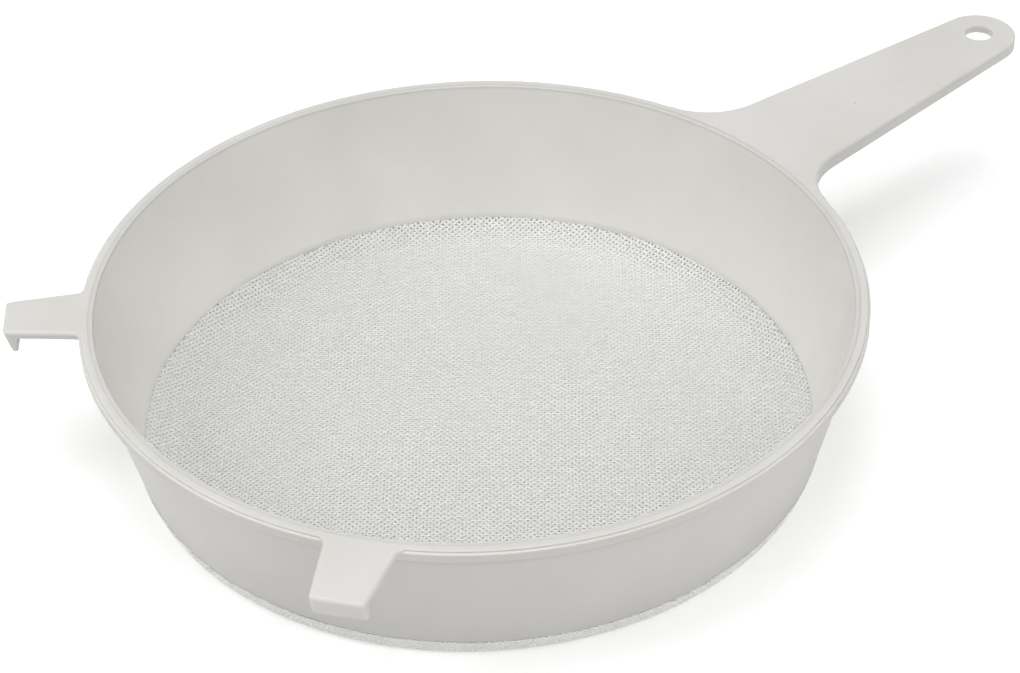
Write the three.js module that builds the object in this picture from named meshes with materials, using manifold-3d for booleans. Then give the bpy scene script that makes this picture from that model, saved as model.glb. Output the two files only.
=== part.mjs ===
// A double sieve strainer for honey, in millimetres, +Z up.
//
// The outer sieve is one moulding: a tapered wall with a flat rim, a long handle and two bucket hooks.
// A fine mesh tray closes its foot. The inner sieve is a plain tapered ring with a coarse mesh tray,
// which drops into the outer sieve and stands on a ledge at the foot of its wall.
//
// The origin is on the sieves' axis at the underside of the fine mesh, where the strainer stands.
// The handle lies along +X, and the hooks are on the far side of the rim from it.

import * as THREE from 'three';
import { mergeVertices } from 'three/addons/utils/BufferGeometryUtils.js';
import Module from 'manifold-3d';

const wasm = await Module();
wasm.setup();

// Shared sizes
const RING_SEGMENTS = 96;
const ARC_SEGMENTS = 6;
const OVERCUT = 1;

// Outer sieve: rim and wall
const RIM_TOP = 53;
const RIM_RADIUS = 125;
const RIM_DEPTH = 3.9;
const RIM_STEP_WIDTH = 0.8;
const RIM_STEP_DEPTH = 0.7;
const WALL_FOOT = 4.75;
const WALL_FOOT_INNER_RADIUS = 110.3;
const WALL_SLOPE = 0.2408;
const WALL_WIDTH = 1.3;
const LEDGE_INNER_RADIUS = 109.5;
const LEDGE_DEPTH = 1;
const TONGUE_ROOT_RADIUS = 119;

// Handle
const HOLE_X = 233.5;
const HOLE_RADIUS = 5;
const HANDLE_TIP_RADIUS = 13.1;
const HANDLE_TAPER = THREE.MathUtils.degToRad(4.6);
const HANDLE_FILLET = 24;
const HANDLE_DEPTH = 5.6;
const HANDLE_PLATE = 2.9;
const HANDLE_SKIRT = 2;
const RIB_WIDTH = 1.6;
const RIB_TO_HOLE = 9;
const CROSS_RIB_COUNT = 3;
const CROSS_RIB_START = 152;
const CROSS_RIB_PITCH = 25;

// Bucket hooks
const HOOK_ANGLES = [144, -144].map(THREE.MathUtils.degToRad);
const HOOK_REACH = 148.5;
const HOOK_END_HALF_WIDTH = 8;
const HOOK_TAPER = THREE.MathUtils.degToRad(7);
const HOOK_FILLET = 3;
const HOOK_ROOT_RADIUS = 122.4;
const HOOK_PLATE = 3;
const HOOK_DEPTH = 8;
const HOOK_LIP_FOOT = 2.2;
const HOOK_LIP_LEAN = THREE.MathUtils.degToRad(17);
const HOOK_EDGE = 0.8;

// Fine mesh tray
const FINE_RADIUS = 110.2;
const FINE_THICKNESS = 0.5;
const FINE_CORNER = 2;
const SEAT_GAP = 0.3;

// Inner sieve: ring and coarse mesh tray
const INNER_GAP = 0.4;
const INNER_WALL_WIDTH = 1.1;
const INNER_TOP = 52.5;
const COARSE_RADIUS = 109.1;
const COARSE_THICKNESS = 0.7;
const COARSE_CORNER = 1.5;
const COARSE_UNDERSIDE = 1.4;

const plastic = { color: 0xe8e7e0, roughness: 0.45, metalness: 0 };
const nylon = { color: 0xf0efea, roughness: 0.55, metalness: 0 };

const wallInnerRadius = (z) => WALL_FOOT_INNER_RADIUS + WALL_SLOPE * (z - WALL_FOOT);
const wallOuterRadius = (z) => wallInnerRadius(z) + WALL_WIDTH;

// A body of revolution about Z from a profile of [radius, height] points, listed counter-clockwise.
function revolve(profile) {
  const points = profile.map(([radius, height]) => new THREE.Vector2(radius, height));
  return new THREE.LatheGeometry(points, RING_SEGMENTS).rotateX(Math.PI / 2);
}

// A flat outline in the XY plane, raised from one height to another.
function prism(shape, low, high) {
  const options = { depth: high - low, bevelEnabled: false, curveSegments: ARC_SEGMENTS };
  return new THREE.ExtrudeGeometry(shape, options).translate(0, 0, low);
}

function block(low, high) {
  const size = high.map((value, axis) => value - low[axis]);
  const middle = high.map((value, axis) => (value + low[axis]) / 2);
  return new THREE.BoxGeometry(...size).translate(...middle);
}

function disc(x, radius, low, high) {
  const outline = new THREE.Shape().absarc(x, 0, radius, 0, 2 * Math.PI);
  return prism(outline, low, high);
}

function toSolid(geometry) {
  const bare = geometry.clone();
  bare.deleteAttribute('normal');
  bare.deleteAttribute('uv');
  const merged = mergeVertices(bare);
  return new wasm.Manifold(new wasm.Mesh({
    numProp: 3,
    vertProperties: Float32Array.from(merged.attributes.position.array),
    triVerts: Uint32Array.from(merged.index.array),
  }));
}

function toGeometry(solid) {
  const mesh = solid.getMesh();
  const geometry = new THREE.BufferGeometry();
  geometry.setAttribute('position', new THREE.BufferAttribute(mesh.vertProperties, 3));
  geometry.setIndex(new THREE.BufferAttribute(mesh.triVerts, 1));
  geometry.computeVertexNormals();
  return geometry;
}

// The plan outline of a tongue that grows out of the rim along +X. Its straight sides stand `half` from
// the point (endX, 0), open by `taper` towards the rim, and run into the rim through concave fillets.
// `inset` draws the same outline that far inside itself. A round end is an arc about (endX, 0).
function tongueOutline({ endX, half, taper, fillet, roundEnd, inset = 0 }) {
  const normal = new THREE.Vector2(Math.sin(taper), Math.cos(taper));
  const toRim = new THREE.Vector2(-Math.cos(taper), Math.sin(taper));
  const end = new THREE.Vector2(endX, 0);
  const near = end.clone().addScaledVector(normal, half + fillet);
  const along = near.dot(toRim);
  const reachSquared = near.lengthSq() - (RIM_RADIUS + fillet) ** 2;
  const travel = -along - Math.sqrt(along ** 2 - reachSquared);
  const centre = near.addScaledVector(toRim, travel);
  const filletRadius = fillet + inset;
  const sideHalf = half - inset;
  const rimAngle = centre.angle();
  const root = centre.clone().setLength(TONGUE_ROOT_RADIUS);
  const sideAngle = Math.PI / 2 + taper;
  const tipAngle = Math.PI / 2 - taper;

  const shape = new THREE.Shape();
  shape.moveTo(root.x, -root.y);
  shape.absarc(centre.x, -centre.y, filletRadius, Math.PI - rimAngle, sideAngle, true);
  if (roundEnd) {
    shape.absarc(endX, 0, sideHalf, -tipAngle, tipAngle, false);
  } else {
    const corner = sideHalf / Math.cos(taper);
    shape.lineTo(endX, -corner);
    shape.lineTo(endX, corner);
  }
  shape.absarc(centre.x, centre.y, filletRadius, -sideAngle, rimAngle - Math.PI, true);
  shape.lineTo(root.x, root.y);
  shape.closePath();
  return shape;
}

function handleOutline(inset) {
  return tongueOutline({
    endX: HOLE_X,
    half: HANDLE_TIP_RADIUS,
    taper: HANDLE_TAPER,
    fillet: HANDLE_FILLET,
    roundEnd: true,
    inset,
  });
}

// The handle is an inverted channel: a top plate with a skirt, stiffened by ribs, and a hole in its tip.
function handleSolid() {
  const underside = RIM_TOP - HANDLE_DEPTH;
  const plateUnderside = RIM_TOP - HANDLE_PLATE;
  const ribTop = RIM_TOP - HANDLE_PLATE / 2;
  const outer = toSolid(prism(handleOutline(0), underside, RIM_TOP));
  const channel = toSolid(prism(handleOutline(HANDLE_SKIRT), underside - OVERCUT, plateUnderside));
  const halfRib = RIB_WIDTH / 2;
  const spineEnd = HOLE_X - RIB_TO_HOLE;
  let ribs = toSolid(block([TONGUE_ROOT_RADIUS, -halfRib, underside], [spineEnd, halfRib, ribTop]));
  for (let index = 0; index < CROSS_RIB_COUNT; index += 1) {
    const x = CROSS_RIB_START + index * CROSS_RIB_PITCH;
    const low = [x - halfRib, -HANDLE_FILLET, underside];
    const high = [x + halfRib, HANDLE_FILLET, ribTop];
    ribs = ribs.add(toSolid(block(low, high)));
  }
  const hole = toSolid(disc(HOLE_X, HOLE_RADIUS, underside - OVERCUT, RIM_TOP + OVERCUT));
  return outer.subtract(channel).add(ribs.intersect(outer)).subtract(hole);
}

// A hook is a plate level with the rim. Its end turns down into a lip whose outer face leans back, and
// whose inner face is upright.
function hookSolid(angle) {
  const outline = tongueOutline({
    endX: HOOK_REACH,
    half: HOOK_END_HALF_WIDTH,
    taper: HOOK_TAPER,
    fillet: HOOK_FILLET,
    roundEnd: false,
  });
  const foot = RIM_TOP - HOOK_DEPTH;
  const plateUnderside = RIM_TOP - HOOK_PLATE;
  const edgeHeight = RIM_TOP - HOOK_EDGE;
  const outerFace = (z) => HOOK_REACH - Math.tan(HOOK_LIP_LEAN) * (edgeHeight - z);
  const innerFace = outerFace(foot) - HOOK_LIP_FOOT;
  const footBevel = HOOK_LIP_FOOT / 4;
  const section = new THREE.Shape();
  section.moveTo(HOOK_ROOT_RADIUS, RIM_TOP);
  section.lineTo(HOOK_ROOT_RADIUS, plateUnderside);
  section.lineTo(innerFace, plateUnderside);
  section.lineTo(innerFace, foot + footBevel);
  section.lineTo(innerFace + footBevel, foot);
  section.lineTo(outerFace(foot) - footBevel, foot);
  section.lineTo(outerFace(foot + footBevel), foot + footBevel);
  section.lineTo(HOOK_REACH, edgeHeight);
  section.lineTo(HOOK_REACH - HOOK_EDGE, RIM_TOP);
  section.closePath();
  const halfLength = HOOK_END_HALF_WIDTH * 2;
  const bar = prism(section, -halfLength, halfLength).rotateX(Math.PI / 2).rotateZ(angle);
  const plan = prism(outline, foot - OVERCUT, RIM_TOP + OVERCUT).rotateZ(angle);
  return toSolid(bar).intersect(toSolid(plan));
}

function outerSieveBody() {
  const rimUnderside = RIM_TOP - RIM_DEPTH;
  const stepRadius = RIM_RADIUS - RIM_STEP_WIDTH;
  const stepHeight = RIM_TOP - RIM_STEP_DEPTH;
  const filled = toSolid(revolve([
    [0, WALL_FOOT],
    [wallOuterRadius(WALL_FOOT), WALL_FOOT],
    [wallOuterRadius(rimUnderside), rimUnderside],
    [RIM_RADIUS, rimUnderside],
    [RIM_RADIUS, stepHeight],
    [stepRadius, stepHeight],
    [stepRadius, RIM_TOP],
    [0, RIM_TOP],
  ]));
  const ledge = WALL_FOOT + LEDGE_DEPTH;
  const hollow = toSolid(revolve([
    [0, WALL_FOOT - OVERCUT],
    [LEDGE_INNER_RADIUS, WALL_FOOT - OVERCUT],
    [LEDGE_INNER_RADIUS, ledge],
    [wallInnerRadius(ledge), ledge],
    [wallInnerRadius(RIM_TOP + OVERCUT), RIM_TOP + OVERCUT],
    [0, RIM_TOP + OVERCUT],
  ]));
  let body = filled.add(handleSolid());
  for (const angle of HOOK_ANGLES) {
    body = body.add(hookSolid(angle));
  }
  return toGeometry(body.subtract(hollow));
}

// A round tray of even thickness with a rounded corner, from its underside up to its open top.
function tray({ radius, thickness, corner, underside, top }) {
  const outside = [];
  const inside = [];
  for (let step = 0; step <= ARC_SEGMENTS; step += 1) {
    const angle = (step / ARC_SEGMENTS) * Math.PI / 2;
    const across = Math.sin(angle);
    const down = Math.cos(angle);
    const centre = [radius - corner, underside + corner];
    outside.push([centre[0] + corner * across, centre[1] - corner * down]);
    const innerCorner = corner - thickness;
    inside.unshift([centre[0] + innerCorner * across, centre[1] - innerCorner * down]);
  }
  return revolve([
    [0, underside],
    ...outside,
    [radius, top],
    [radius - thickness, top],
    ...inside,
    [0, underside + thickness],
  ]);
}

function fineMeshTray() {
  return tray({
    radius: FINE_RADIUS,
    thickness: FINE_THICKNESS,
    corner: FINE_CORNER,
    underside: 0,
    top: WALL_FOOT - SEAT_GAP,
  });
}

const innerSieveFoot = WALL_FOOT + LEDGE_DEPTH + SEAT_GAP;

function innerSieveRing() {
  const outer = (z) => wallInnerRadius(z) - INNER_GAP;
  const inner = (z) => outer(z) - INNER_WALL_WIDTH;
  return revolve([
    [inner(innerSieveFoot), innerSieveFoot],
    [outer(innerSieveFoot), innerSieveFoot],
    [outer(INNER_TOP), INNER_TOP],
    [inner(INNER_TOP), INNER_TOP],
    [inner(innerSieveFoot), innerSieveFoot],
  ]);
}

function coarseMeshTray() {
  return tray({
    radius: COARSE_RADIUS,
    thickness: COARSE_THICKNESS,
    corner: COARSE_CORNER,
    underside: COARSE_UNDERSIDE,
    top: innerSieveFoot - SEAT_GAP,
  });
}

function named(name, geometry, material) {
  const mesh = new THREE.Mesh(geometry, new THREE.MeshStandardMaterial(material));
  mesh.name = name;
  return mesh;
}

const outerSieve = new THREE.Group();
outerSieve.add(named('outer_sieve_body', outerSieveBody(), plastic));
outerSieve.add(named('fine_mesh_tray', fineMeshTray(), nylon));

const innerSieve = new THREE.Group();
innerSieve.add(named('inner_sieve_ring', innerSieveRing(), plastic));
innerSieve.add(named('coarse_mesh_tray', coarseMeshTray(), nylon));

const strainer = new THREE.Group();
strainer.add(outerSieve, innerSieve);

export default strainer;
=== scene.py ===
"""The looks of a double sieve strainer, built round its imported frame.

The moulded pieces are rebuilt with rounded edges, and both meshes are woven thread by thread.
Lengths are in millimetres until a mesh is made, which is in metres.
"""

import math

import bmesh
import bpy
import numpy as np
from mathutils import Matrix, Vector


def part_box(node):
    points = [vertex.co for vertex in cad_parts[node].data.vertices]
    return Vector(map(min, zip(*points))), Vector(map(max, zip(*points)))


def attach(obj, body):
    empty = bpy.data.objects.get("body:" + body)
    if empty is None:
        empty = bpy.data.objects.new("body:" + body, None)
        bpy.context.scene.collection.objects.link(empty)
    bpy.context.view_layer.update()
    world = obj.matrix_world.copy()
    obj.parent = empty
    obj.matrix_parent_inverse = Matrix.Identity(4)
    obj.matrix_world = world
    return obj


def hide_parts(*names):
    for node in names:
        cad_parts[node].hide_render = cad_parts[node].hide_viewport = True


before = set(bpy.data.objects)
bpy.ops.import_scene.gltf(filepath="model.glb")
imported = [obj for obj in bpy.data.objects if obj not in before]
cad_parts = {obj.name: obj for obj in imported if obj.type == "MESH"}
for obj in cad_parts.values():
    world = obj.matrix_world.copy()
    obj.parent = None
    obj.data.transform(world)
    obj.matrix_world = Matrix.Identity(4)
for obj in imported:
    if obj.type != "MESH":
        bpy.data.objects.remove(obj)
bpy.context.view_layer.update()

MM = 0.001

# Sizes read from the frame
BODY_LOW, BODY_HIGH = (np.array(corner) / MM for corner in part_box("outer_sieve_body"))
RING_LOW, RING_HIGH = (np.array(corner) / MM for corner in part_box("inner_sieve_ring"))
FINE_LOW, FINE_HIGH = (np.array(corner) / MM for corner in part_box("fine_mesh_tray"))
COARSE_LOW, COARSE_HIGH = (np.array(corner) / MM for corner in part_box("coarse_mesh_tray"))

RIM_RADIUS = BODY_HIGH[1]
RIM_TOP = BODY_HIGH[2]
WALL_FOOT = BODY_LOW[2]
HANDLE_REACH = BODY_HIGH[0]
INNER_TOP = RING_HIGH[2]
INNER_FOOT = RING_LOW[2]
INNER_TOP_RADIUS = RING_HIGH[1]

# Outer sieve
RING_SEGMENTS = 384
RIM_DEPTH = 3.9
RIM_STEP_WIDTH = 0.8
RIM_STEP_DEPTH = 0.7
WALL_SLOPE = 0.2408
WALL_WIDTH = 1.3
RING_GAP = 0.4
INNER_FIT = 0.02
LEDGE_REACH = 0.8
LEDGE_DEPTH = 1.0

# Handle
HANDLE_TIP_RADIUS = 13.1
HOLE_X = HANDLE_REACH - HANDLE_TIP_RADIUS
HOLE_RADIUS = 5.0
HANDLE_TAPER = math.radians(4.6)
HANDLE_FILLET = 24.0
HANDLE_ROOT_DEPTH = 6.1
HANDLE_TIP_DEPTH = 4.9
HANDLE_PLATE = 2.9
HANDLE_SKIRT = 2.0
HANDLE_EDGE = 1.0
RIB_WIDTH = 1.6
CROSS_RIBS = (152.0, 177.0, 202.0)
TONGUE_ROOT_RADIUS = 119.0

# Bucket hooks
HOOK_ANGLES = (144.0, -144.0)
HOOK_REACH = 148.5
HOOK_END_HALF_WIDTH = 8.0
HOOK_TAPER = math.radians(7.0)
HOOK_FILLET = 1.6
HOOK_ROOT_RADIUS = 122.4
HOOK_PLATE = 3.0
HOOK_DEPTH = 8.0
HOOK_LIP_FOOT = 2.2
HOOK_LIP_LEAN = math.radians(17.0)
HOOK_EDGE = 0.9
HOOK_CORNER = 1.4

# Inner sieve
INNER_WIDTH = 1.1
GAP_ANGLE = math.radians(12)
GAP_SPREAD = math.radians(16)
GAP_OPENING = 0.22
SKIRT_FOOT = 4.2
SKIRT_WIDTH = 0.6

# Woven meshes
COARSE_PITCH = 1.55
COARSE_THREAD = 0.9
COARSE_EDGE_HEIGHT = 4.95
COARSE_SLOPE = 8.5
COARSE_BEND = 14.0
FINE_PITCH = 1.1
FINE_THREAD = 0.64
THREAD_FLATNESS = 0.3
FINE_WRAP = 6.2
FINE_FRAY = 0.8
CLOTH_TURN = math.radians(4.5)
CLOTH_SIDE_GAP = 0.05
THREAD_SIDES = 4
# Slow wandering of the threads: wavelength and swing in the cloth's plane
DRIFTS = ((70.0, 0.5), (28.0, 0.18), (11.0, 0.06))

# Plastic
# BLACK is the colour the painted shade darkens the plastic towards.
BLACK = (0.0, 0.0, 0.0)
SPECK_TINT = (0.16, 0.15, 0.13)
SPECK_SPACING = 24.0
# How far down the wall the painted shade under the rim reaches, in millimetres.
CORNER_SHADE_REACH = 6.0

# Camera and stage
CAMERA_AZIMUTH = math.radians(-37.7)
CAMERA_ELEVATION = math.radians(36.34)
CAMERA_TURNS = (("Y", -0.71), ("X", -1.01), ("Z", -2.33))
CAMERA_RIM_RADII = 7
CAMERA_LENS = 97.4
FLOOR_HALF = 4000
FLOOR_HEIGHT = -0.05
FLOOR_TONE = 0.9
FLOOR_GLOW = 0.22
WORLD_GLOW = 0.12
LAMP_DISTANCE = 2.0
# Each lamp: name, azimuth and elevation in degrees, size in metres, power in watts
LAMPS = (
    ("top", 0, 89, 1.6, 25),
    ("right", 7, 42, 1.4, 17),
    ("left", 232, 42, 1.4, 18),
    ("front_left", 277, 42, 1.4, 3),
)


def wall_inner(z):
    """Inner radius of the outer sieve's wall at height z."""
    return INNER_TOP_RADIUS + RING_GAP + WALL_SLOPE * (z - INNER_TOP)


def wall_outer(z):
    return wall_inner(z) + WALL_WIDTH


# Mesh helpers


def rounded(points, radii, step=math.radians(15)):
    """A closed outline in two dimensions with each corner rounded to its radius."""
    count = len(points)
    result = []
    for index in range(count):
        corner = np.array(points[index], float)
        before = np.array(points[index - 1], float) - corner
        after = np.array(points[(index + 1) % count], float) - corner
        room = 0.49 * min(np.linalg.norm(before), np.linalg.norm(after))
        before /= np.linalg.norm(before)
        after /= np.linalg.norm(after)
        opening = math.acos(max(-1.0, min(1.0, float(before @ after))))
        turn = math.pi - opening
        if radii[index] <= 0 or turn < 1e-3:
            result.append(corner)
            continue
        cut = min(radii[index] * math.tan(turn / 2), room)
        radius = cut / math.tan(turn / 2)
        middle = before + after
        centre = corner + middle / np.linalg.norm(middle) * radius / math.sin(opening / 2)
        first = corner + before * cut - centre
        last = corner + after * cut - centre
        steps = max(2, math.ceil(turn / step))
        for number in range(steps + 1):
            share = number / steps
            weight_first = math.sin((1 - share) * turn) / math.sin(turn)
            weight_last = math.sin(share * turn) / math.sin(turn)
            result.append(centre + first * weight_first + last * weight_last)
    return np.array(result)


def mesh_object(name, vertices, faces):
    """A new object from vertices in millimetres."""
    mesh = bpy.data.meshes.new(name)
    mesh.from_pydata((np.asarray(vertices) * MM).tolist(), [], faces)
    mesh.validate()
    made = bpy.data.objects.new(name, mesh)
    bpy.context.scene.collection.objects.link(made)
    return made


def face_outwards(made):
    work = bmesh.new()
    work.from_mesh(made.data)
    bmesh.ops.recalc_face_normals(work, faces=work.faces)
    work.to_mesh(made.data)
    work.free()
    return made


def lathe(name, profile, segments=RING_SEGMENTS, on_axis=False):
    """A body of revolution about Z from (radius, height) points. The profile closes on itself, or with
    on_axis its ends are joined to the axis by flat discs."""
    profile = np.asarray(profile, float)
    count = len(profile)
    angles = np.arange(segments) * 2 * math.pi / segments
    rings = np.empty((segments, count, 3))
    rings[:, :, 0] = np.cos(angles)[:, None] * profile[None, :, 0]
    rings[:, :, 1] = np.sin(angles)[:, None] * profile[None, :, 0]
    rings[:, :, 2] = profile[None, :, 1]
    faces = []
    links = count - 1 if on_axis else count
    for segment in range(segments):
        here = segment * count
        there = ((segment + 1) % segments) * count
        for index in range(links):
            after = (index + 1) % count
            faces.append((here + index, there + index, there + after, here + after))
    if on_axis:
        faces.append([segment * count for segment in range(segments)])
        faces.append([segment * count + count - 1 for segment in range(segments)])
    return face_outwards(mesh_object(name, rings.reshape(-1, 3), faces))


def stacked(name, rings):
    """A closed body from rings of equal length, capped at both ends."""
    count = len(rings[0])
    faces = [list(range(count))]
    for level in range(len(rings) - 1):
        low = level * count
        high = low + count
        for index in range(count):
            after = (index + 1) % count
            faces.append((low + index, low + after, high + after, high + index))
    top = (len(rings) - 1) * count
    faces.append([top + index for index in range(count)])
    return face_outwards(mesh_object(name, np.concatenate(rings), faces))


def combine(made, tool, operation):
    """made joined with or cut by tool, which is used up."""
    change = made.modifiers.new("combine", "BOOLEAN")
    change.operation = operation
    change.solver = "MANIFOLD"
    change.object = tool
    bake_modifiers(made)
    mesh = tool.data
    bpy.data.objects.remove(tool)
    bpy.data.meshes.remove(mesh)
    return made


def bake_modifiers(made):
    graph = bpy.context.evaluated_depsgraph_get()
    mesh = bpy.data.meshes.new_from_object(made.evaluated_get(graph), depsgraph=graph)
    made.modifiers.clear()
    old = made.data
    made.data = mesh
    bpy.data.meshes.remove(old)


def finish_surface(made, sharp=math.radians(35)):
    """Smooth shading that keeps flat faces flat and hard edges hard."""
    work = bmesh.new()
    work.from_mesh(made.data)
    bmesh.ops.remove_doubles(work, verts=work.verts, dist=0.002 * MM)
    bmesh.ops.dissolve_degenerate(work, edges=work.edges, dist=0.001 * MM)
    bmesh.ops.recalc_face_normals(work, faces=work.faces)
    for face in work.faces:
        face.smooth = True
    for edge in work.edges:
        edge.smooth = len(edge.link_faces) == 2 and edge.calc_face_angle(0.0) < sharp
    work.to_mesh(made.data)
    work.free()
    weigh = made.modifiers.new("flat_faces_first", "WEIGHTED_NORMAL")
    weigh.keep_sharp = True
    weigh.weight = 50
    return made


# Outer sieve body


def tongue_outline(end_x, half, taper, fillet, inset=0.0, steps=28):
    """The plan outline of a round-ended tongue that grows out of the rim along +X, drawn inset inside
    itself: two straight sides that open towards the rim and run into it through concave fillets."""
    normal = np.array([math.sin(taper), math.cos(taper)])
    to_rim = np.array([-math.cos(taper), math.sin(taper)])
    near = np.array([end_x, 0.0]) + normal * (half + fillet)
    along = near @ to_rim
    travel = -along - math.sqrt(along**2 - near @ near + (RIM_RADIUS + fillet) ** 2)
    centre = near + to_rim * travel
    rim_angle = math.atan2(centre[1], centre[0])
    root = centre / np.linalg.norm(centre) * TONGUE_ROOT_RADIUS
    side_angle = -(math.pi / 2 + taper)
    fillet_angles = np.linspace(side_angle, rim_angle - math.pi, steps)
    tip_angles = np.linspace(0, math.pi / 2 - taper, steps)
    around_tip = np.stack([np.cos(tip_angles), np.sin(tip_angles)], 1) * (half - inset)
    around_tip[:, 0] += end_x
    around_root = np.stack([np.cos(fillet_angles), np.sin(fillet_angles)], 1) * (fillet + inset)
    around_root += centre
    side = np.linspace(around_tip[-1], around_root[0], 16)[1:-1]
    upper = np.concatenate([around_tip, side, around_root, root[None, :]])
    lower = upper[:0:-1] * [1, -1]
    return np.concatenate([upper, lower])


def handle_ring(inset, depth):
    """The handle's outline inset from its edge. Depth is (a share of the handle's full depth, and
    millimetres more) below the top, so (1, 0) is the underside, which rises to the tip."""
    outline = tongue_outline(HOLE_X, HANDLE_TIP_RADIUS, HANDLE_TAPER, HANDLE_FILLET, inset)
    along = np.clip((outline[:, 0] - RIM_RADIUS) / (HANDLE_REACH - RIM_RADIUS), 0, 1)
    full = HANDLE_ROOT_DEPTH + (HANDLE_TIP_DEPTH - HANDLE_ROOT_DEPTH) * along
    height = RIM_TOP - (full * depth[0] + depth[1])
    return np.column_stack([outline, height])


def handle():
    """An inverted channel with a rounded top edge, ribs underneath, and a hole in its tip."""
    rings = []
    for turn in np.linspace(0, math.pi / 2, 8):
        inset = HANDLE_EDGE * (1 - math.sin(turn))
        drop = HANDLE_EDGE * (1 - math.cos(turn))
        rings.append(handle_ring(inset, (0, drop)))
    rings.append(handle_ring(0.0, (1, -0.4)))
    rings.append(handle_ring(0.12, (1, -0.12)))
    rings.append(handle_ring(0.4, (1, 0)))
    rings.append(handle_ring(HANDLE_SKIRT - 0.3, (1, 0)))
    rings.append(handle_ring(HANDLE_SKIRT, (1, -0.3)))
    rings.append(handle_ring(HANDLE_SKIRT + 0.05, (0, HANDLE_PLATE + 0.3)))
    rings.append(handle_ring(HANDLE_SKIRT + 0.3, (0, HANDLE_PLATE)))
    made = stacked("handle", rings)
    for rib in ribs():
        made = combine(made, rib, "UNION")
    spool = rounded(
        [
            (HOLE_RADIUS + 3, RIM_TOP + 3),
            (HOLE_RADIUS, RIM_TOP),
            (HOLE_RADIUS, RIM_TOP - HANDLE_PLATE),
            (HOLE_RADIUS + 3, RIM_TOP - HANDLE_PLATE - 3),
        ],
        [0, 0.9, 0.5, 0],
        math.radians(6),
    )
    hole = lathe("hole", spool, 96, on_axis=True)
    hole.data.transform(Matrix.Translation((HOLE_X * MM, 0, 0)))
    return combine(made, hole, "DIFFERENCE")


def bar(name, low, high):
    """A plain rib between two corners, inside the handle's skirt."""
    (x0, y0, z0), (x1, y1, z1) = low, high
    ring = [(x0, y0), (x1, y0), (x1, y1), (x0, y1)]
    return stacked(name, [np.array([(x, y, z) for x, y in ring], float) for z in (z0, z1)])


def ribs():
    half = RIB_WIDTH / 2
    top = RIM_TOP - HANDLE_PLATE / 2
    low = RIM_TOP - HANDLE_TIP_DEPTH - 0.3
    made = [bar("rib", (TONGUE_ROOT_RADIUS, -half, low), (HOLE_X - 9, half, top))]
    for x in CROSS_RIBS:
        reach = HANDLE_TIP_RADIUS + (HOLE_X - x) * math.tan(HANDLE_TAPER) - HANDLE_SKIRT / 2
        made.append(bar("rib", (x - half, -reach, low), (x + half, reach, top)))
    return made


def hook_section():
    """A hook cut through its middle, as (reach, height): a plate whose end turns down into a lip."""
    foot = RIM_TOP - HOOK_DEPTH
    underside = RIM_TOP - HOOK_PLATE
    outer_foot = HOOK_REACH - math.tan(HOOK_LIP_LEAN) * (HOOK_DEPTH - HOOK_EDGE)
    inner_foot = outer_foot - HOOK_LIP_FOOT
    return rounded(
        [
            (HOOK_ROOT_RADIUS, RIM_TOP),
            (HOOK_ROOT_RADIUS, underside),
            (inner_foot - 0.2, underside),
            (inner_foot, foot + 1.6),
            (inner_foot - 0.1, foot),
            (outer_foot, foot),
            (HOOK_REACH + 0.1, RIM_TOP),
        ],
        [0, 0, 0.9, 1.0, 1.0, 1.2, 0.8],
        math.radians(12),
    )


def resampled(outline, spacing):
    """A closed outline with extra points along its long sides."""
    result = []
    for index in range(len(outline)):
        start = outline[index]
        end = outline[(index + 1) % len(outline)]
        parts = max(1, int(np.linalg.norm(end - start) / spacing))
        result.extend(start + (end - start) * part / parts for part in range(parts))
    return np.array(result)


def inset_outline(outline, amount):
    """A counter-clockwise or clockwise closed outline moved inwards along its corners' normals."""
    before = outline - np.roll(outline, 1, 0)
    after = np.roll(outline, -1, 0) - outline
    before /= np.linalg.norm(before, axis=1, keepdims=True)
    after /= np.linalg.norm(after, axis=1, keepdims=True)
    tangent = before + after
    tangent /= np.linalg.norm(tangent, axis=1, keepdims=True)
    following = np.roll(outline, -1, 0)
    area = np.sum(outline[:, 0] * following[:, 1] - outline[:, 1] * following[:, 0])
    normal = np.column_stack([-tangent[:, 1], tangent[:, 0]]) * np.sign(area)
    return outline + normal * amount


def hook_half_width(reach, height):
    """Half the hook's width: a slight taper, a fillet at the rim, and a round end corner."""
    straight = HOOK_END_HALF_WIDTH + (HOOK_REACH - reach) * math.tan(HOOK_TAPER)
    root = np.clip(1 - (reach - RIM_RADIUS + RIM_STEP_WIDTH) / HOOK_FILLET, 0, 1)
    face = HOOK_REACH - math.tan(HOOK_LIP_LEAN) * (RIM_TOP - HOOK_EDGE - height)
    end = np.clip((reach - face) / HOOK_CORNER + 1, 0, 1)
    wider = HOOK_FILLET * (1 - np.sqrt(1 - root**2))
    narrower = HOOK_CORNER * (1 - np.sqrt(1 - end**2))
    return straight + wider - narrower


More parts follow.
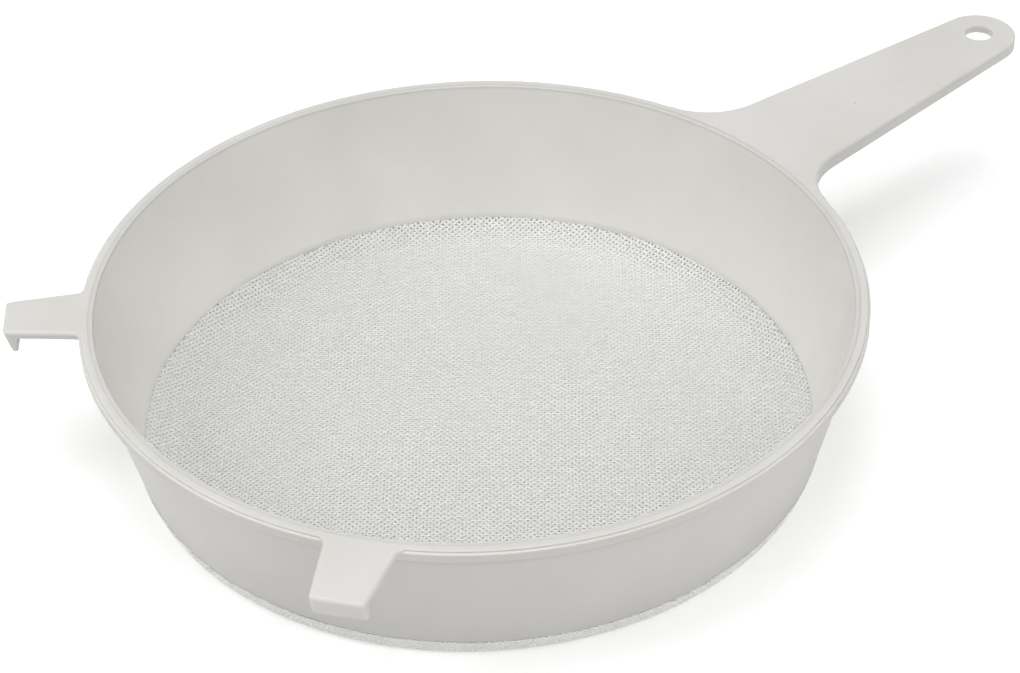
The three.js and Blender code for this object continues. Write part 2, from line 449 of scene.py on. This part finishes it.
def hook(angle):
    """A hook is swept across at an even width, sliced along its length, and tapered slice by slice."""
    section = resampled(hook_section(), 0.7)
    stations = [(share, 0.0) for share in np.linspace(-1, 1, 7)]
    for turn in np.linspace(0, math.pi / 2, 7)[1:]:
        stations.append((1 + math.sin(turn), 1 - math.cos(turn)))
        stations.insert(0, (-1 - math.sin(turn), 1 - math.cos(turn)))
    rings = []
    for share, sink in stations:
        shape = inset_outline(section, HOOK_EDGE * sink)
        rings.append(np.column_stack([shape[:, 0], np.full(len(shape), share), shape[:, 1]]))
    made = stacked("hook", rings)
    fillet_end = RIM_RADIUS + HOOK_FILLET
    slices = np.concatenate(
        [np.arange(RIM_RADIUS - 1.2, fillet_end, 0.3), np.arange(fillet_end, HOOK_REACH, 0.8)]
    )
    work = bmesh.new()
    work.from_mesh(made.data)
    for reach in slices:
        parts = work.verts[:] + work.edges[:] + work.faces[:]
        bmesh.ops.bisect_plane(work, geom=parts, plane_co=(reach * MM, 0, 0), plane_no=(1, 0, 0))
    for vertex in work.verts:
        reach, share, height = np.array(vertex.co) / MM
        flat = hook_half_width(reach, height) - HOOK_EDGE
        beyond = max(abs(share) - 1, 0)
        vertex.co.y = math.copysign(min(abs(share), 1) * flat + beyond * HOOK_EDGE, share) * MM
    work.to_mesh(made.data)
    work.free()
    made.data.transform(Matrix.Rotation(math.radians(angle), 4, "Z"))
    return made


def outer_sieve():
    rim_underside = RIM_TOP - RIM_DEPTH
    step_radius = RIM_RADIUS - RIM_STEP_WIDTH
    step_height = RIM_TOP - RIM_STEP_DEPTH
    outside = rounded(
        [
            (0.0, WALL_FOOT),
            (wall_outer(WALL_FOOT), WALL_FOOT),
            (wall_outer(rim_underside), rim_underside),
            (RIM_RADIUS, rim_underside),
            (RIM_RADIUS, step_height),
            (step_radius, step_height),
            (step_radius, RIM_TOP),
            (0.0, RIM_TOP),
        ],
        [0, 0.5, 0.7, 0.6, 0.35, 0.2, 0.3, 0],
    )
    body = lathe("outer_sieve_moulding", outside[1:-1], on_axis=True)
    body = combine(body, handle(), "UNION")
    for angle in HOOK_ANGLES:
        body = combine(body, hook(angle), "UNION")
    ledge = WALL_FOOT + LEDGE_DEPTH
    ledge_radius = wall_inner(WALL_FOOT) - LEDGE_REACH
    inside = rounded(
        [
            (ledge_radius + 2, WALL_FOOT - 2),
            (ledge_radius, WALL_FOOT),
            (ledge_radius, ledge),
            (wall_inner(ledge), ledge),
            (wall_inner(RIM_TOP), RIM_TOP),
            (wall_inner(RIM_TOP) + 2, RIM_TOP + 2),
        ],
        [0, 0.3, 0.2, 0.3, 0.03, 0],
    )
    hollow = lathe("hollow", inside, on_axis=True)
    body = combine(body, hollow, "DIFFERENCE")
    return finish_surface(body)


# Inner sieve ring


def inner_sieve():
    """The thin ring. A thin skirt inside its foot grips the edge of the coarse cloth."""
    top = RIM_TOP
    outer_top = wall_inner(top) - INNER_FIT
    width = INNER_WIDTH + RING_GAP - INNER_FIT
    foot_outer = wall_inner(INNER_FOOT) - INNER_FIT
    skirt_inner = foot_outer - width - SKIRT_WIDTH / 2
    profile = rounded(
        [
            (skirt_inner, SKIRT_FOOT),
            (skirt_inner + SKIRT_WIDTH, SKIRT_FOOT),
            (skirt_inner + SKIRT_WIDTH, INNER_FOOT),
            (foot_outer, INNER_FOOT),
            (outer_top, top),
            (outer_top - width, top),
            (foot_outer - width, INNER_FOOT + 0.6),
        ],
        [0.1, 0.1, 0, 0.3, 0.03, 0.35, 3.0],
    )
    made = lathe("inner_sieve_moulding", profile)
    for vertex in made.data.vertices:
        x, y, z = np.array(vertex.co) / MM
        if z > top - 2:
            near_handle = math.exp(-(((math.atan2(y, x) - GAP_ANGLE) / GAP_SPREAD) ** 2))
            vertex.co.xy *= 1 - GAP_OPENING * near_handle / outer_top
    return finish_surface(made)


# Woven meshes


class Cloth:
    """A flat round cloth mapped onto a tray: radius and height along its profile from centre to edge."""

    def __init__(self, profile):
        self.profile = np.asarray(profile, float)
        step = np.diff(self.profile, axis=0)
        length = np.linalg.norm(step, axis=1)
        self.run = np.concatenate([[0], np.cumsum(length)])
        self.reach = self.run[-1]
        self.middle = (self.run[1:] + self.run[:-1]) / 2
        self.tangent = step / length[:, None]

    def shape(self, flat):
        """Points of the flat cloth, with their height over it, moved onto the tray."""
        distance = np.maximum(np.hypot(flat[..., 0], flat[..., 1]), 1e-6)
        inside = np.minimum(distance, self.reach)
        radius = np.interp(inside, self.run, self.profile[:, 0])
        height = np.interp(inside, self.run, self.profile[:, 1])
        along = np.interp(inside, self.middle, self.tangent[:, 0])
        up = np.interp(inside, self.middle, self.tangent[:, 1])
        radius = radius - flat[..., 2] * up
        turned = np.arctan2(flat[..., 1], flat[..., 0]) + CLOTH_TURN
        return np.stack(
            [radius * np.cos(turned), radius * np.sin(turned), height + flat[..., 2] * along], -1
        )


def drift(flat, seed):
    """Slow wandering of the threads in the cloth's plane, the same for both families."""
    draw = np.random.default_rng(seed)
    moved = flat.copy()
    for size, amount in DRIFTS:
        for axis in (0, 1):
            for _ in range(3):
                heading = draw.uniform(0, 2 * math.pi)
                phase = draw.uniform(0, 2 * math.pi)
                where = flat[..., 0] * math.cos(heading) + flat[..., 1] * math.sin(heading)
                moved[..., axis] += amount * np.sin(where * 2 * math.pi / size + phase) / 2
    return moved


def woven(name, profile, pitch, thread, seed, fray=0.0):
    """A cloth of real threads, cut round and formed into a tray."""
    cloth = Cloth(profile)
    draw = np.random.default_rng(seed)
    lines = int(cloth.reach / pitch)
    vertices = []
    faces = []
    base = 0
    sides = THREAD_SIDES
    half = thread / 2
    rise = half * THREAD_FLATNESS
    spin = np.arange(sides) * 2 * math.pi / sides + math.pi / sides
    ring = np.column_stack([np.cos(spin), np.sin(spin)]) / math.cos(math.pi / sides)
    for family in (0, 1):
        for line in range(-lines, lines + 1):
            offset = line * pitch
            length = math.sqrt(max(cloth.reach**2 - offset**2, 0))
            crossings = int(length / pitch)
            if crossings < 2:
                continue
            numbers = np.arange(-crossings, crossings + 1)
            cut = draw.uniform(-fray, 0, 2) if fray else (0, 0)
            ends = (-length - cut[0], length + cut[1])
            along = np.concatenate([[ends[0]], numbers * pitch, [ends[1]]])
            along = np.clip(along, ends[0], ends[1])
            over = np.where((numbers + line + family) % 2 == 0, 1.0, -1.0)
            wave = np.concatenate([[0], over, [0]]) * rise * 0.9
            width = half * draw.uniform(0.94, 1.06)
            count = len(along)
            flat = np.empty((count, sides, 3))
            flat[:, :, 0] = along[:, None]
            flat[:, :, 1] = offset + draw.uniform(-0.03, 0.03) * pitch + width * ring[None, :, 0]
            flat[:, :, 2] = wave[:, None] + rise * ring[None, :, 1]
            if family:
                flat = flat[:, :, [1, 0, 2]]
            vertices.append(cloth.shape(drift(flat, seed)).reshape(-1, 3))
            row = np.arange(count - 1)[:, None] * sides + base
            index = row + np.arange(sides)[None, :]
            after = row + (np.arange(sides) + 1)[None, :] % sides
            quads = np.stack([index, after, after + sides, index + sides], -1).reshape(-1, sides)
            first = base + np.arange(sides)
            last = base + (count - 1) * sides + np.arange(sides)
            quads = np.concatenate([quads, np.stack([first[::-1], last])])
            faces.append(quads[:, ::-1] if family else quads)
            base += count * sides
    vertices = np.concatenate(vertices)
    faces = np.concatenate(faces)
    mesh = bpy.data.meshes.new(name)
    mesh.vertices.add(len(vertices))
    mesh.vertices.foreach_set("co", (vertices * MM).ravel())
    mesh.loops.add(faces.size)
    mesh.loops.foreach_set("vertex_index", faces.ravel())
    mesh.polygons.add(len(faces))
    mesh.polygons.foreach_set("loop_start", np.arange(len(faces)) * sides)
    mesh.update(calc_edges=True)
    mesh.shade_smooth()
    made = bpy.data.objects.new(name, mesh)
    bpy.context.scene.collection.objects.link(made)
    return made, cloth.reach


def fine_cloth():
    """The fine cloth is a tray whose side runs up over the outside of the wall's foot."""
    low = FINE_LOW[2] + FINE_THREAD * THREAD_FLATNESS
    side = wall_outer(WALL_FOOT) + CLOTH_SIDE_GAP
    return open_profile(
        [
            (0.0, low),
            (FINE_HIGH[0] - 0.2, low),
            (side, WALL_FOOT - 0.1),
            (wall_outer(FINE_WRAP) + 0.1, FINE_WRAP),
        ],
        [0, 2.2, 1.0, 0],
    )


def coarse_cloth():
    """The coarse cloth curves up at its edge and ends inside the ring's skirt."""
    low = COARSE_LOW[2] + COARSE_THREAD * THREAD_FLATNESS
    edge = COARSE_HIGH[0] + CLOTH_SIDE_GAP
    return open_profile(
        [(0.0, low), (edge - COARSE_SLOPE, low), (edge, COARSE_EDGE_HEIGHT)], [0, COARSE_BEND, 0]
    )


def open_profile(points, radii):
    """A profile from centre to edge with rounded corners, which isn't closed."""
    below = [(points[-1][0], -50.0), (points[0][0], -50.0)]
    outline = rounded(points + below, radii + [0, 0], math.radians(8))
    return outline[:-2]


# Materials


def new_material(name, colour, roughness):
    material = bpy.data.materials.new(name)
    material.use_nodes = True
    shader = material.node_tree.nodes["Principled BSDF"]
    shader.inputs["Base Color"].default_value = (*colour, 1)
    shader.inputs["Roughness"].default_value = roughness
    return material, material.node_tree, shader


def add(tree, kind, **inputs):
    """A node with its inputs set: a value, or the output socket of another node."""
    node = tree.nodes.new(kind)
    for key, value in inputs.items():
        socket = node.inputs[key.replace("_", " ").title()]
        if isinstance(value, bpy.types.NodeSocket):
            tree.links.new(value, socket)
        else:
            socket.default_value = value
    return node


def mottle(tree, size, detail=2.0, roughness=0.5, stretch=(1, 1, 1)):
    """Smooth noise in the piece's own space, with features of that size in millimetres."""
    place = add(tree, "ShaderNodeTexCoord").outputs["Object"]
    mapped = add(tree, "ShaderNodeMapping", vector=place, scale=stretch).outputs["Vector"]
    noise_node = add(
        tree,
        "ShaderNodeTexNoise",
        vector=mapped,
        scale=1 / (size * MM),
        detail=detail,
        roughness=roughness,
    )
    return noise_node.outputs["Fac"]


def ranged(tree, value, low, high, start=0.3, end=0.7):
    """value from start to end becomes a number from low to high."""
    node = tree.nodes.new("ShaderNodeMapRange")
    tree.links.new(value, node.inputs["Value"])
    for key, amount in (("From Min", start), ("From Max", end), ("To Min", low), ("To Max", high)):
        node.inputs[key].default_value = amount
    return node.outputs["Result"]


def tinted(tree, value, first, second):
    """A colour that goes from first to second as value goes from 0.3 to 0.7."""
    ramp = tree.nodes.new("ShaderNodeValToRGB")
    tree.links.new(value, ramp.inputs["Fac"])
    for element, position, colour in zip(ramp.color_ramp.elements, (0.3, 0.7), (first, second)):
        element.position = position
        element.color = (*colour, 1)
    return ramp.outputs["Color"]


def blended(tree, share, first, second):
    node = tree.nodes.new("ShaderNodeMix")
    node.data_type = "RGBA"
    for key, value in (("Factor", share), ("A", first), ("B", second)):
        socket = next(i for i in node.inputs if i.name == key and i.enabled)
        if isinstance(value, bpy.types.NodeSocket):
            tree.links.new(value, socket)
        else:
            socket.default_value = (*value, 1)
    return next(o for o in node.outputs if o.enabled)


def computed(tree, operation, first, second):
    """Two numbers, each a value or a socket, put through a Math node."""
    node = tree.nodes.new("ShaderNodeMath")
    node.operation = operation
    for socket, value in zip(node.inputs, (first, second)):
        if isinstance(value, bpy.types.NodeSocket):
            tree.links.new(value, socket)
        else:
            socket.default_value = value
    return node.outputs["Value"]


def flattened(tree, vector):
    """The vector without its height."""
    return add(tree, "ShaderNodeMapping", vector=vector, scale=(1, 1, 0)).outputs["Vector"]


def roughened(tree, shader, layers):
    """Bumps from (noise, height in millimetres) layers, finest last."""
    normal = None
    for value, height in layers:
        bump = tree.nodes.new("ShaderNodeBump")
        bump.inputs["Strength"].default_value = 1
        bump.inputs["Distance"].default_value = height * MM
        tree.links.new(value, bump.inputs["Height"])
        if normal:
            tree.links.new(normal, bump.inputs["Normal"])
        normal = bump.outputs["Normal"]
    tree.links.new(normal, shader.inputs["Normal"])


def moulded_plastic(name, dark, light, painted_shade, shade_from, shade_to, corner_shade=0.0):
    """Milky polypropylene: faint flow marks, handling scuffs, a fine moulded grain, and rare dark
    specks.
    Painted shade: painted_shade is how much darker the colour is painted from shade_to on, growing from
    shade_from, and corner_shade how much darker again it is painted in the corner under the rim."""
    material, tree, shader = new_material(name, light, 0.4)
    clouds = mottle(tree, 38, detail=3)
    grain = mottle(tree, 0.9, detail=2)
    waves = mottle(tree, 9, detail=1)
    scuffs = mottle(tree, 2.2, detail=4, roughness=0.7, stretch=(1, 7, 3))
    colour = tinted(tree, clouds, dark, light)
    specks = add(
        tree,
        "ShaderNodeTexVoronoi",
        vector=add(tree, "ShaderNodeTexCoord").outputs["Object"],
        scale=1 / (SPECK_SPACING * MM),
    )
    near = ranged(tree, specks.outputs["Distance"], 1, 0, 0.008, 0.022)
    cell = add(tree, "ShaderNodeSeparateColor", color=specks.outputs["Color"]).outputs[0]
    chosen = ranged(tree, cell, 0, 1, 0.9, 0.92)
    colour = blended(tree, computed(tree, "MULTIPLY", near, chosen), colour, SPECK_TINT)
    where = add(tree, "ShaderNodeTexCoord").outputs["Object"]
    height = add(tree, "ShaderNodeSeparateXYZ", vector=where).outputs["Z"]
    # Painted shade: the colour is darkened towards black past a given height, standing in for the shade
    # that falls on the faces there.
    share = ranged(tree, height, 0, painted_shade, shade_from * MM, shade_to * MM)
    colour = blended(tree, share, colour, BLACK)
    # Painted shade in the corner under the rim, standing in for the rim's cast shadow on the outer wall.
    if corner_shade:
        colour = blended(tree, under_rim(tree, where, height, corner_shade), colour, BLACK)
    tree.links.new(colour, shader.inputs["Base Color"])
    tree.links.new(ranged(tree, scuffs, 0.52, 0.68), shader.inputs["Roughness"])
    roughened(tree, shader, [(waves, 0.12), (grain, 0.012)])
    shader.inputs["Subsurface Weight"].default_value = 0.35
    shader.inputs["Subsurface Radius"].default_value = (1.0, 0.95, 0.85)
    shader.inputs["Subsurface Scale"].default_value = 2 * MM
    shader.inputs["IOR"].default_value = 1.49
    return material


def under_rim(tree, where, height, most):
    """A share of painted shade, standing in for the rim's cast shadow: most in the corner between the
    rim's underside and the wall's outside, and fades down the wall. It is zero on the rim, the handle,
    the hooks and the inside."""
    across = add(tree, "ShaderNodeVectorMath", vector=flattened(tree, where))
    across.operation = "LENGTH"
    leaning = computed(tree, "MULTIPLY", height, WALL_SLOPE)
    from_cone = computed(tree, "SUBTRACT", across.outputs["Value"], leaning)
    inner, outer = wall_inner(0), wall_outer(0)
    outside = ranged(tree, from_cone, 0, most, (inner + 0.4) * MM, (inner + 0.9) * MM)
    not_past = ranged(tree, from_cone, 1, 0, (outer + 0.2) * MM, (outer + 0.6) * MM)
    corner = RIM_TOP - RIM_DEPTH
    below = ranged(tree, height, 0, 1, (corner - CORNER_SHADE_REACH) * MM, corner * MM)
    not_above = ranged(tree, height, 1, 0, (corner + 0.1) * MM, (corner + 0.3) * MM)
    depth = computed(tree, "MULTIPLY", computed(tree, "MULTIPLY", below, below), not_above)
    on_wall = computed(tree, "MULTIPLY", outside, not_past)
    return computed(tree, "MULTIPLY", on_wall, depth)


def nylon(name, glow):
    """Pale nylon thread, a little uneven in tone from place to place, with a fine drawn grain. Light
    travels glow millimetres inside it."""
    material, tree, shader = new_material(name, (0.93, 0.921, 0.888), 0.4)
    patches = mottle(tree, 14, detail=3)
    grain = mottle(tree, 0.25, detail=1)
    colour = tinted(tree, patches, (0.92, 0.908, 0.873), (0.96, 0.953, 0.925))
    tree.links.new(colour, shader.inputs["Base Color"])
    tree.links.new(ranged(tree, grain, 0.35, 0.5), shader.inputs["Roughness"])
    roughened(tree, shader, [(grain, 0.01)])
    shader.inputs["Subsurface Weight"].default_value = 0.9
    shader.inputs["Subsurface Radius"].default_value = (1.0, 1.0, 1.04)
    shader.inputs["Subsurface Scale"].default_value = glow * MM
    shader.inputs["IOR"].default_value = 1.53
    return material


# Stage


def stage():
    floor = mesh_object(
        "floor",
        [
            (x * FLOOR_HALF, y * FLOOR_HALF, FLOOR_HEIGHT)
            for x, y in ((-1, -1), (1, -1), (1, 1), (-1, 1))
        ],
        [(0, 1, 2, 3)],
    )
    material, _, shader = new_material("floor", (FLOOR_TONE, FLOOR_TONE, FLOOR_TONE), 0.9)
    shader.inputs["Emission Color"].default_value = (1, 1, 1, 1)
    shader.inputs["Emission Strength"].default_value = FLOOR_GLOW
    floor.data.materials.append(material)
    world = bpy.data.worlds.new("studio")
    world.use_nodes = True
    background = world.node_tree.nodes["Background"]
    background.inputs["Color"].default_value = (1, 1, 1, 1)
    background.inputs["Strength"].default_value = WORLD_GLOW
    bpy.context.scene.world = world
    bpy.context.scene.view_settings.view_transform = "Standard"


def lamp(name, azimuth, elevation, size, power):
    """A square softbox that faces the strainer."""
    data = bpy.data.lights.new(name, "AREA")
    data.shape = "SQUARE"
    data.size = size
    data.energy = power
    made = bpy.data.objects.new(name, data)
    bpy.context.scene.collection.objects.link(made)
    a, e = math.radians(azimuth), math.radians(elevation)
    out = Vector((math.sin(a) * math.cos(e), -math.cos(a) * math.cos(e), math.sin(e)))
    made.location = out * LAMP_DISTANCE
    made.rotation_euler = (-out).to_track_quat("-Z", "Y").to_euler()


def camera():
    """The camera stands seven rim radii from the middle of the rim, low on the hooks' side."""
    azimuth, elevation = CAMERA_AZIMUTH, CAMERA_ELEVATION
    back = Vector(
        (
            math.sin(azimuth) * math.cos(elevation),
            -math.cos(azimuth) * math.cos(elevation),
            math.sin(elevation),
        )
    )
    turn = (-back).to_track_quat("-Z", "Y").to_matrix()
    for axis, degrees in CAMERA_TURNS:
        turn = turn @ Matrix.Rotation(math.radians(degrees), 3, axis)
    data = bpy.data.cameras.new("camera")
    data.sensor_width = 36
    data.lens = CAMERA_LENS
    made = bpy.data.objects.new("camera", data)
    bpy.context.scene.collection.objects.link(made)
    centre = Vector((0, 0, RIM_TOP * MM))
    place = Matrix.Translation(centre + back * CAMERA_RIM_RADII * RIM_RADIUS * MM)
    made.matrix_world = place @ turn.to_4x4()
    bpy.context.scene.camera = made


def place(piece, material, moves_with, node, finish):
    """The piece takes its material and the CAD node's part in the frame."""
    piece.data.materials.clear()
    piece.data.materials.append(material)
    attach(piece, moves_with)
    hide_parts(node)
    return piece


camera()
stage()
for settings in LAMPS:
    lamp(*settings)

step_height = RIM_TOP - RIM_STEP_DEPTH
# The body is painted darker below the rim's step, as painted shade, so the rim's top and the handle's
# top stay lighter than the lip, the sides and the walls; the corner under the rim is painted darker
# again, as painted shade.
body_plastic = moulded_plastic(
    "milky_plastic",
    (0.58, 0.57, 0.543),
    (0.623, 0.615, 0.592),
    painted_shade=0.12,
    shade_from=step_height - 0.2,
    shade_to=step_height - 0.8,
    corner_shade=0.4,
)
# The ring's plastic is painted lighter than the body's, as painted light on its self-shaded inner wall;
# its top is painted darker again, as painted shade over the light that falls on it.
ring_plastic = moulded_plastic(
    "inner_milky_plastic",
    (0.655, 0.645, 0.617),
    (0.7, 0.692, 0.667),
    painted_shade=0.17,
    shade_from=RIM_TOP - 1.2,
    shade_to=RIM_TOP - 0.4,
)
fine_thread = nylon("fine_nylon_thread", 0.25)
coarse_thread = nylon("coarse_nylon_thread", 1.1)

body = place(outer_sieve(), body_plastic, "outer_sieve", "outer_sieve_body", "plastic")
ring = place(inner_sieve(), ring_plastic, "inner_sieve", "inner_sieve_ring", "plastic")

fine, fine_reach = woven("fine_mesh", fine_cloth(), FINE_PITCH, FINE_THREAD, 5, fray=FINE_FRAY)
place(fine, fine_thread, "outer_sieve", "fine_mesh_tray", "nylon_mesh")
coarse, coarse_reach = woven("coarse_mesh", coarse_cloth(), COARSE_PITCH, COARSE_THREAD, 8)
place(coarse, coarse_thread, "inner_sieve", "coarse_mesh_tray", "nylon_mesh")
